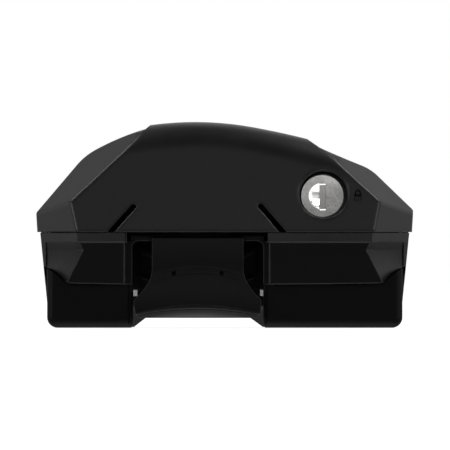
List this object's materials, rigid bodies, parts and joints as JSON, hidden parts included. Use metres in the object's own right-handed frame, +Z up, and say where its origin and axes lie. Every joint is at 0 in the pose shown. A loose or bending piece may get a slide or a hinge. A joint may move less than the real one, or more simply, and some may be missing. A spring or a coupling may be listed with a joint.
{
  "type": "roof bar foot",
  "caption": "Foot for the end of a wing-shaped roof bar: hinged, lockable faceted cover over a rubber-shod base, a bar cradle and a bent steel rail clamp drawn in by a torque screw.",
  "frame": {"origin": "middle of the bounding footprint, on the standing surface of the pad", "axes": "+X along the vehicle to the right of the foot seen from outside, +Y inwards along the bar, +Z up"},
  "size_m": [0.1508, 0.105, 0.0822],
  "materials": {
    "cover_plastic": "fine spark-eroded grain, black",
    "housing_plastic": "satin black moulding",
    "pad_rubber": "smooth black rubber",
    "liner_rubber": "matt black rubber",
    "coated_steel": "satin black coating",
    "zinc_steel": "zinc plated sheet",
    "plated_steel": "zinc plated",
    "screw_steel": "zinc plated, turned",
    "spring_steel": "dark spring steel",
    "pin_steel": "ground",
    "coated_casting": "die casting, matt black powder coat",
    "shutter_steel": "satin sheet",
    "dark_zinc": "blackened die casting",
    "lock_metal": "satin, lightly pitted"
  },
  "bodies": {
    "base": {"base_housing": "housing_plastic", "base_plate": "zinc_steel", "foot_pad": "pad_rubber", "bar_cradle": "coated_casting", "bar_clamp_plate": "plated_steel", "bar_clamp_screw_1": "screw_steel", "bar_clamp_screw_2": "screw_steel", "cradle_screw_1": "screw_steel", "cradle_screw_2": "screw_steel", "cradle_screw_3": "screw_steel", "cradle_screw_4": "screw_steel", "housing_screw_1": "screw_steel", "housing_screw_2": "screw_steel", "housing_screw_3": "screw_steel", "housing_screw_4": "screw_steel", "hinge_pin_left": "pin_steel", "hinge_pin_right": "pin_steel", "tension_nut": "plated_steel", "lock_keeper": "coated_steel", "keeper_screw_left": "spring_steel", "keeper_screw_right": "spring_steel"},
    "cover": {"front_cover": "cover_plastic", "lock_sleeve": "dark_zinc", "lock_sleeve_clip": "spring_steel"},
    "lock": {"lock_core": "lock_metal", "lock_shutter": "shutter_steel", "lock_cam": "plated_steel", "cam_screw": "screw_steel"},
    "clamp": {"clamp_bracket": "coated_steel", "hook_liner": "liner_rubber"},
    "screw": {"torque_screw": "screw_steel", "thrust_washer": "plated_steel", "retaining_ring": "spring_steel"}
  },
  "joints": [
    {"name": "cover_hinge", "type": "hinge", "parent": "base", "child": "cover", "pos_m": [0, 0.036, 0.047], "axis": [-1, 0, 0], "range_deg": [0, 65]},
    {"name": "lock_turn", "type": "hinge", "parent": "cover", "child": "lock", "pos_m": [0.0389, -0.05014, 0.0531], "axis": [0, 0.9877, -0.1564], "range_deg": [0, 90]},
    {"name": "clamp_slide", "type": "slide", "parent": "base", "child": "clamp", "axis": [0, 1, 0], "range_m": [0, 0.006]},
    {"name": "screw_turn", "type": "hinge", "parent": "clamp", "child": "screw", "pos_m": [-0.0108, -0.0386, 0.045], "axis": [0, 1, 0], "range_deg": [0, 1728]}
  ],
  "couplings": [
    {"joint": "screw_turn", "follows": "clamp_slide", "rad_per_m": 5026.5}
  ]
}
